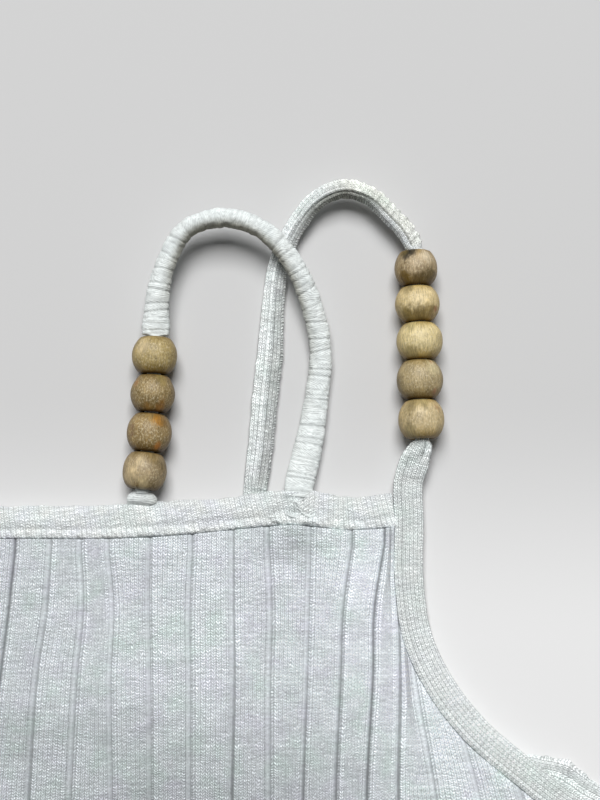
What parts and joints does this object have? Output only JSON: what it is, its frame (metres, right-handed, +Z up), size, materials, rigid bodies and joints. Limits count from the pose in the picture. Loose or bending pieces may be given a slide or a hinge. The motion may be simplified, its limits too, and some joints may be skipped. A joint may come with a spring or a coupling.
{
  "type": "tank top",
  "caption": "Wide-rib cotton knit tank top laid flat, square neckline, with looped tubular and thread-wrapped straps that carry wooden beads",
  "frame": {"origin": "under the middle of the whole garment, straps included, on the surface it lies on", "axes": "+Y from the hem to the straps, +Z up from the surface, through the front of the garment; +X completes the frame, to the right seen from above with the straps at the top"},
  "size_m": [0.3652, 0.484, 0.0123],
  "materials": {
    "rib_knit": "matte wide-rib cotton knit",
    "binding_knit": "matte fine cotton knit tape",
    "wrap_thread": "soft-sheen cotton thread wraps",
    "bead_wood": "bare turned wood, satin"
  },
  "bodies": {
    "root": {"front_panel": "rib_knit", "back_panel": "rib_knit", "front_neck_binding": "binding_knit", "back_neck_binding": "binding_knit", "outer_strap_right": "binding_knit", "back_armhole_right": "binding_knit", "inner_strap_right": "wrap_thread", "bead_outer_right_1": "bead_wood", "bead_outer_right_2": "bead_wood", "bead_outer_right_3": "bead_wood", "bead_outer_right_4": "bead_wood", "bead_outer_right_5": "bead_wood", "bead_inner_right_1": "bead_wood", "bead_inner_right_2": "bead_wood", "bead_inner_right_3": "bead_wood", "bead_inner_right_4": "bead_wood", "outer_strap_left": "binding_knit", "back_armhole_left": "binding_knit", "inner_strap_left": "wrap_thread", "bead_outer_left_1": "bead_wood", "bead_outer_left_2": "bead_wood", "bead_outer_left_3": "bead_wood", "bead_outer_left_4": "bead_wood", "bead_outer_left_5": "bead_wood", "bead_inner_left_1": "bead_wood", "bead_inner_left_2": "bead_wood", "bead_inner_left_3": "bead_wood", "bead_inner_left_4": "bead_wood"}
  },
  "joints": []
}
